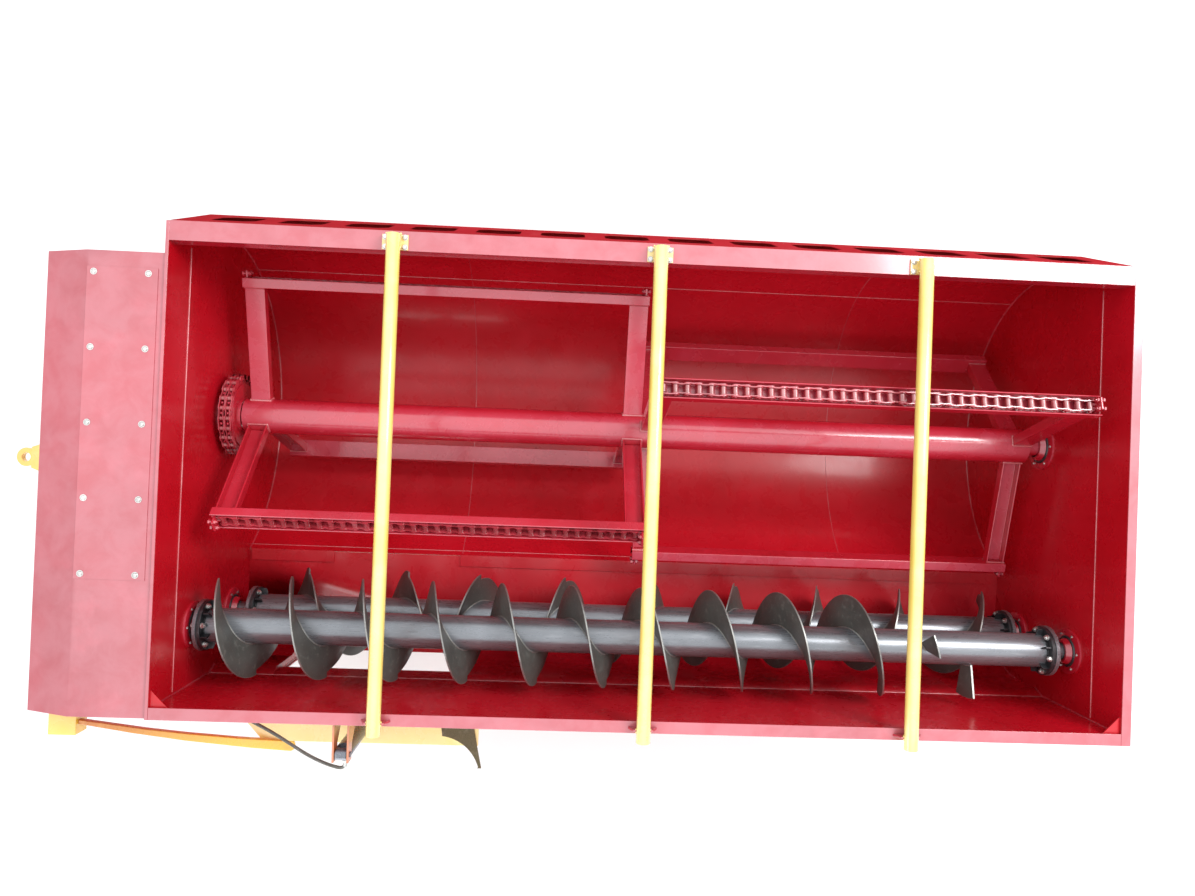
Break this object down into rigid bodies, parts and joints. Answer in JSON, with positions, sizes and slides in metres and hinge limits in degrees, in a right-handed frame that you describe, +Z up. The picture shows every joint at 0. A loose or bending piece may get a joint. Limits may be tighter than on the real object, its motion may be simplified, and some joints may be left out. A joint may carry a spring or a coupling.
{
  "type": "horizontal feed mixer wagon",
  "caption": "Trailed cattle feed mixer: open tub with a bladeless reel, two augers, side discharge door with hood, covered chain drive and single-axle chassis.",
  "frame": {"origin": "middle of the machine's overall length and width, on the ground", "axes": "+X along the tub from the tow eye to the rear, +Y towards the reel side, +Z up"},
  "size_m": [5.61, 2.456, 2.2259],
  "materials": {
    "tub_red": "gloss enamel",
    "frame_yellow": "gloss enamel",
    "arm_yellow": "gloss enamel",
    "bracket_orange": "worn enamel",
    "auger_steel": "graphite grey satin",
    "cylinder_steel": "satin",
    "zinc": "zinc plated",
    "chrome_rod": "polished",
    "cast": "painted casting",
    "chain_steel": "oiled",
    "slide_block": "satin",
    "hose_braid": "braided sleeve",
    "flap_rubber": "matt",
    "tyre": "matt"
  },
  "bodies": {
    "tub": {"reel_trough": "tub_red", "auger_trough": "tub_red", "back_wall": "tub_red", "front_wall": "tub_red", "left_end_wall": "tub_red", "right_end_wall": "tub_red", "front_rim": "tub_red", "back_rim": "tub_red", "end_rims": "tub_red", "back_panel": "tub_red", "corner_gussets": "tub_red", "ridge_strips": "tub_red", "cross_bars": "frame_yellow", "bar_brackets": "frame_yellow", "bracket_bolts": "zinc", "bar_saddles": "tub_red", "door_jambs": "tub_red", "door_guides": "tub_red", "cylinder_barrel": "cylinder_steel", "cylinder_bracket": "bracket_orange", "hydraulic_hose": "hose_braid", "discharge_hood": "frame_yellow", "rubber_flap": "flap_rubber", "support_arm": "arm_yellow", "arm_bracket": "frame_yellow", "drive_cover": "tub_red", "inspection_panel": "tub_red", "panel_bolts": "zinc", "bearing_housings": "cast", "gearbox": "cast", "drive_chains": "chain_steel", "chain_tensioners": "slide_block", "chassis_frame": "frame_yellow", "axle_beam": "frame_yellow", "drawbar": "frame_yellow", "tow_eye": "frame_yellow", "jack_tube": "frame_yellow"},
    "door": {"door_plate": "tub_red", "cylinder_rod": "chrome_rod"},
    "reel": {"reel_shaft": "tub_red", "reel_arms": "tub_red", "reel_bats": "tub_red", "bat_chains": "tub_red", "chain_coupling": "tub_red", "reel_sprocket": "chain_steel"},
    "upper_auger": {"upper_auger_tube": "auger_steel", "upper_auger_flight": "auger_steel", "upper_auger_flanges": "auger_steel", "upper_auger_sprocket": "chain_steel"},
    "lower_auger": {"lower_auger_tube": "auger_steel", "lower_auger_flight": "auger_steel", "lower_auger_flanges": "auger_steel", "lower_auger_sprocket": "chain_steel"},
    "drive_shaft": {"drive_sprockets": "chain_steel"},
    "input_shaft": {"pto_shaft": "zinc"},
    "front_wheel_body": {"front_wheel": "frame_yellow", "front_tyre": "tyre"},
    "back_wheel_body": {"back_wheel": "frame_yellow", "back_tyre": "tyre"},
    "jack": {"jack_leg": "zinc"}
  },
  "joints": [
    {"name": "reel_spin", "type": "hinge", "parent": "tub", "child": "reel", "pos_m": [0.739, 0.34, 1.462], "axis": [1, 0, 0], "continuous": true},
    {"name": "upper_auger_spin", "type": "hinge", "parent": "tub", "child": "upper_auger", "pos_m": [0.739, -0.612, 1.747], "axis": [1, 0, 0], "continuous": true},
    {"name": "lower_auger_spin", "type": "hinge", "parent": "tub", "child": "lower_auger", "pos_m": [0.739, -0.62, 1.279], "axis": [1, 0, 0], "continuous": true},
    {"name": "drive_shaft_spin", "type": "hinge", "parent": "tub", "child": "drive_shaft", "pos_m": [-1.411, 0.08, 0.9], "axis": [1, 0, 0], "continuous": true},
    {"name": "input_shaft_spin", "type": "hinge", "parent": "tub", "child": "input_shaft", "pos_m": [-1.841, 0.08, 0.9], "axis": [1, 0, 0], "continuous": true},
    {"name": "door_slide", "type": "slide", "parent": "tub", "child": "door", "axis": [0, 0, 1], "range_m": [-0.33, 0]},
    {"name": "front_wheel_spin", "type": "hinge", "parent": "tub", "child": "front_wheel_body", "pos_m": [1.139, -0.77, 0.38], "axis": [0, 1, 0], "continuous": true},
    {"name": "back_wheel_spin", "type": "hinge", "parent": "tub", "child": "back_wheel_body", "pos_m": [1.139, 0.93, 0.38], "axis": [0, 1, 0], "continuous": true},
    {"name": "jack_slide", "type": "slide", "parent": "tub", "child": "jack", "axis": [0, 0, 1], "range_m": [0, 0.3]}
  ],
  "couplings": [
    {"joint": "drive_shaft_spin", "follows": "reel_spin", "ratio": 4.5},
    {"joint": "upper_auger_spin", "follows": "reel_spin", "ratio": 3.25},
    {"joint": "lower_auger_spin", "follows": "reel_spin", "ratio": 3.25},
    {"joint": "input_shaft_spin", "follows": "reel_spin", "ratio": 22.5}
  ]
}
